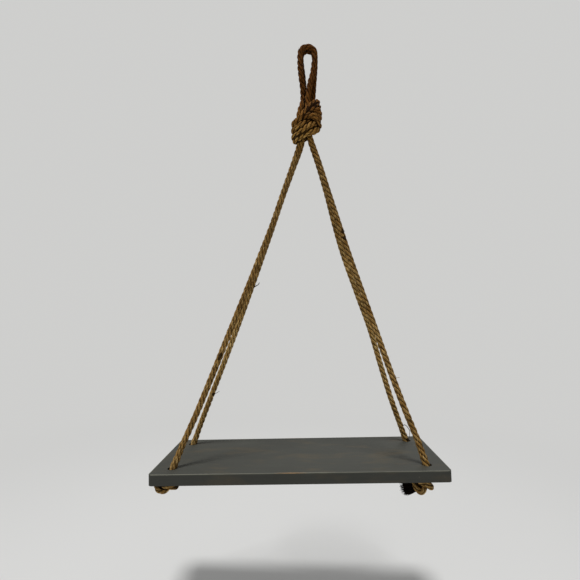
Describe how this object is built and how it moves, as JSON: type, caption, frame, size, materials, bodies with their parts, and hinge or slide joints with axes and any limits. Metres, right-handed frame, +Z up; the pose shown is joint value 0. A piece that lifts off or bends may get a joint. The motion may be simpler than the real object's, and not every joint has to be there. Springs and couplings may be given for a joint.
{
  "type": "hanging rope shelf",
  "caption": "Painted board hung on two ropes that pass through its corners and gather in one overhand knot under a hanging loop.",
  "frame": {"origin": "the point inside the top of the hanging loop where the hook carries the shelf", "axes": "+X to the right along the board, +Y to the back, +Z up, plumb: the board itself leans 2.4 degrees about Y because the right ropes are tied shorter"},
  "size_m": [0.5082, 0.203, 0.865],
  "materials": {
    "painted_wood": "matte grey paint, worn to bare wood along the top front edge",
    "jute_rope": "laid jute, hairy and dry",
    "frayed_jute": "loose jute fibres, darkened"
  },
  "bodies": {
    "hook_loop": {"front_rope_crown": "jute_rope", "back_rope_crown": "jute_rope"},
    "upper_strands": {"front_left_upper_strand": "jute_rope", "back_left_upper_strand": "jute_rope", "front_right_upper_strand": "jute_rope", "back_right_upper_strand": "jute_rope"},
    "lower_strands": {"front_left_lower_strand": "jute_rope", "back_left_lower_strand": "jute_rope", "front_right_lower_strand": "jute_rope", "back_right_lower_strand": "jute_rope"},
    "hanging_shelf": {"front_rope_knot": "jute_rope", "back_rope_knot": "jute_rope", "front_left_leg": "jute_rope", "back_left_leg": "jute_rope", "front_right_leg": "jute_rope", "back_right_leg": "jute_rope", "board": "painted_wood", "front_left_stopper_knot": "jute_rope", "back_left_stopper_knot": "jute_rope", "front_right_stopper_knot": "jute_rope", "back_right_stopper_knot": "jute_rope", "front_left_frayed_end": "frayed_jute", "back_left_frayed_end": "frayed_jute", "front_right_frayed_end": "frayed_jute", "back_right_frayed_end": "frayed_jute"}
  },
  "joints": [
    {"name": "front_back_swing", "type": "hinge", "parent": "hook_loop", "child": "upper_strands", "pos_m": [0.003, 0, -0.01], "axis": [1, 0, 0], "range_deg": [-20, 20], "deforming": ["front_left_upper_strand", "back_left_upper_strand", "front_right_upper_strand", "back_right_upper_strand"]},
    {"name": "twist", "type": "hinge", "parent": "upper_strands", "child": "lower_strands", "pos_m": [0.005, 0, -0.05], "axis": [0, 0, 1], "range_deg": [-30, 30], "deforming": ["front_left_upper_strand", "back_left_upper_strand", "front_right_upper_strand", "back_right_upper_strand", "front_left_lower_strand", "back_left_lower_strand", "front_right_lower_strand", "back_right_lower_strand"]},
    {"name": "side_swing", "type": "hinge", "parent": "lower_strands", "child": "hanging_shelf", "pos_m": [0.005, 0, -0.092], "axis": [0, 1, 0], "range_deg": [-15, 15], "deforming": ["front_left_lower_strand", "back_left_lower_strand", "front_right_lower_strand", "back_right_lower_strand"]}
  ]
}
